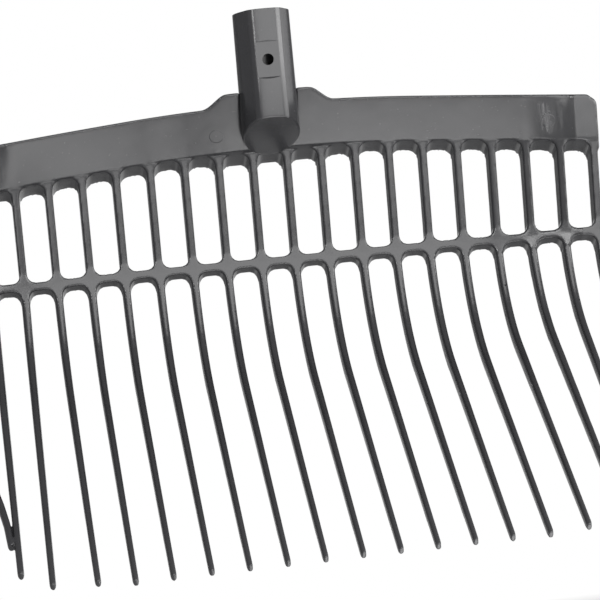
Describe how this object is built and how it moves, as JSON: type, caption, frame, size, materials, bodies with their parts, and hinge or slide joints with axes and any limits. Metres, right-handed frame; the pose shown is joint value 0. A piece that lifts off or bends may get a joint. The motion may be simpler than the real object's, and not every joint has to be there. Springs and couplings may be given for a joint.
{
  "type": "manure fork head",
  "caption": "One-piece plastic manure fork head: wide comb of curved tapered tines under a slatted panel with forward-swept ends, and a round socket with a screw hole for a straight handle.",
  "frame": {"origin": "centre of the socket's mouth", "axes": "+Z out of the socket's mouth along the handle's axis, X across the head, -Y towards the hollow side that carries the load; the tines bend forward to -Y and down to -Z"},
  "size_m": [0.4068, 0.2024, 0.3133],
  "materials": {
    "black_plastic": "satin moulded, slightly worn"
  },
  "bodies": {
    "root": {"handle_socket": "black_plastic", "back_plate": "black_plastic", "crossbar": "black_plastic", "slat_01": "black_plastic", "slat_02": "black_plastic", "slat_03": "black_plastic", "slat_04": "black_plastic", "slat_05": "black_plastic", "slat_06": "black_plastic", "slat_07": "black_plastic", "slat_08": "black_plastic", "slat_09": "black_plastic", "slat_10": "black_plastic", "slat_11": "black_plastic", "slat_12": "black_plastic", "slat_13": "black_plastic", "slat_14": "black_plastic", "slat_15": "black_plastic", "slat_16": "black_plastic", "slat_17": "black_plastic", "slat_18": "black_plastic", "slat_19": "black_plastic", "slat_20": "black_plastic", "tine_01": "black_plastic", "tine_02": "black_plastic", "tine_03": "black_plastic", "tine_04": "black_plastic", "tine_05": "black_plastic", "tine_06": "black_plastic", "tine_07": "black_plastic", "tine_08": "black_plastic", "tine_09": "black_plastic", "tine_10": "black_plastic", "tine_11": "black_plastic", "tine_12": "black_plastic", "tine_13": "black_plastic", "tine_14": "black_plastic", "tine_15": "black_plastic", "tine_16": "black_plastic", "tine_17": "black_plastic", "tine_18": "black_plastic", "tine_19": "black_plastic", "tine_20": "black_plastic"}
  },
  "joints": []
}
